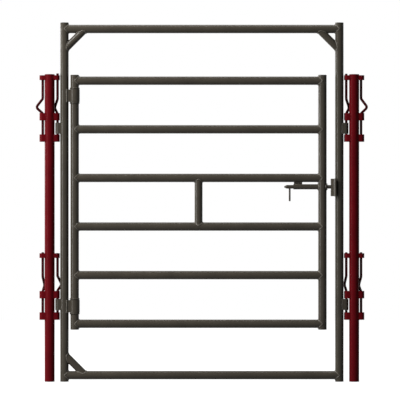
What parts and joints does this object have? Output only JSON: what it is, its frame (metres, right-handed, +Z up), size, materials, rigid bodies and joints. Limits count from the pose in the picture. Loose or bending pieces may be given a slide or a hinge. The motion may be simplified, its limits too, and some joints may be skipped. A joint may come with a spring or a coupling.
{
  "type": "gate in frame",
  "caption": "Barred walk-through gate hung on sleeve hinges in a tall braced tube frame, with a slide latch and drop-pin couplings to a post on each side.",
  "frame": {"origin": "centre of the left post's foot, on the ground, with the gate seen from the front and its hinges on the left", "axes": "+X along the fence from the left post to the right one, +Y from front to back, +Z up"},
  "size_m": [1.9942, 0.0846, 2.155],
  "materials": {
    "bronze_paint": "semi-gloss dark bronze-grey enamel on steel tube",
    "red_paint": "semi-gloss deep red enamel on steel pipe and strap",
    "pin_paint": "dark red enamel on bent round bar"
  },
  "bodies": {
    "frame_and_posts": {"frame_left_upright": "bronze_paint", "frame_right_upright": "bronze_paint", "frame_top_rail": "bronze_paint", "frame_bottom_rail": "bronze_paint", "brace_top_left": "bronze_paint", "brace_top_right": "bronze_paint", "brace_bottom_left": "bronze_paint", "upper_hinge": "bronze_paint", "lower_hinge": "bronze_paint", "latch_catch": "bronze_paint", "left_post": "red_paint", "right_post": "red_paint", "left_upper_keepers": "red_paint", "left_upper_lug": "bronze_paint", "left_lower_keepers": "red_paint", "left_lower_lug": "bronze_paint", "right_upper_keepers": "red_paint", "right_upper_lug": "bronze_paint", "right_lower_keepers": "red_paint", "right_lower_lug": "bronze_paint"},
    "gate": {"gate_hinge_upright": "bronze_paint", "gate_latch_upright": "bronze_paint", "gate_rail_1": "bronze_paint", "gate_rail_2": "bronze_paint", "gate_rail_3": "bronze_paint", "gate_rail_4": "bronze_paint", "gate_rail_5": "bronze_paint", "gate_rail_6": "bronze_paint", "gate_mid_stay": "bronze_paint", "hinge_stop_rings": "bronze_paint", "latch_guide": "bronze_paint"},
    "bolt": {"latch_bolt": "bronze_paint", "latch_handle": "bronze_paint"},
    "left_upper_outer_pin": {"left_upper_outer_pin": "pin_paint"},
    "left_upper_inner_pin": {"left_upper_inner_pin": "pin_paint"},
    "left_lower_outer_pin": {"left_lower_outer_pin": "pin_paint"},
    "left_lower_inner_pin": {"left_lower_inner_pin": "pin_paint"},
    "right_upper_outer_pin": {"right_upper_outer_pin": "pin_paint"},
    "right_upper_inner_pin": {"right_upper_inner_pin": "pin_paint"},
    "right_lower_outer_pin": {"right_lower_outer_pin": "pin_paint"},
    "right_lower_inner_pin": {"right_lower_inner_pin": "pin_paint"}
  },
  "joints": [
    {"name": "gate_swing", "type": "hinge", "parent": "frame_and_posts", "child": "gate", "pos_m": [0.1505, 0, 1.0765], "axis": [0, 0, 1], "range_deg": [-110, 110]},
    {"name": "bolt_slide", "type": "slide", "parent": "gate", "child": "bolt", "axis": [1, 0, 0], "range_m": [-0.023, 0.0155]},
    {"name": "left_upper_outer_pin_lift", "type": "slide", "parent": "frame_and_posts", "child": "left_upper_outer_pin", "axis": [0, 0, 1], "range_m": [0, 0.105]},
    {"name": "left_upper_inner_pin_lift", "type": "slide", "parent": "frame_and_posts", "child": "left_upper_inner_pin", "axis": [0, 0, 1], "range_m": [0, 0.105]},
    {"name": "left_lower_outer_pin_lift", "type": "slide", "parent": "frame_and_posts", "child": "left_lower_outer_pin", "axis": [0, 0, 1], "range_m": [0, 0.105]},
    {"name": "left_lower_inner_pin_lift", "type": "slide", "parent": "frame_and_posts", "child": "left_lower_inner_pin", "axis": [0, 0, 1], "range_m": [0, 0.105]},
    {"name": "right_upper_outer_pin_lift", "type": "slide", "parent": "frame_and_posts", "child": "right_upper_outer_pin", "axis": [0, 0, 1], "range_m": [0, 0.105]},
    {"name": "right_upper_inner_pin_lift", "type": "slide", "parent": "frame_and_posts", "child": "right_upper_inner_pin", "axis": [0, 0, 1], "range_m": [0, 0.105]},
    {"name": "right_lower_outer_pin_lift", "type": "slide", "parent": "frame_and_posts", "child": "right_lower_outer_pin", "axis": [0, 0, 1], "range_m": [0, 0.105]},
    {"name": "right_lower_inner_pin_lift", "type": "slide", "parent": "frame_and_posts", "child": "right_lower_inner_pin", "axis": [0, 0, 1], "range_m": [0, 0.105]}
  ]
}
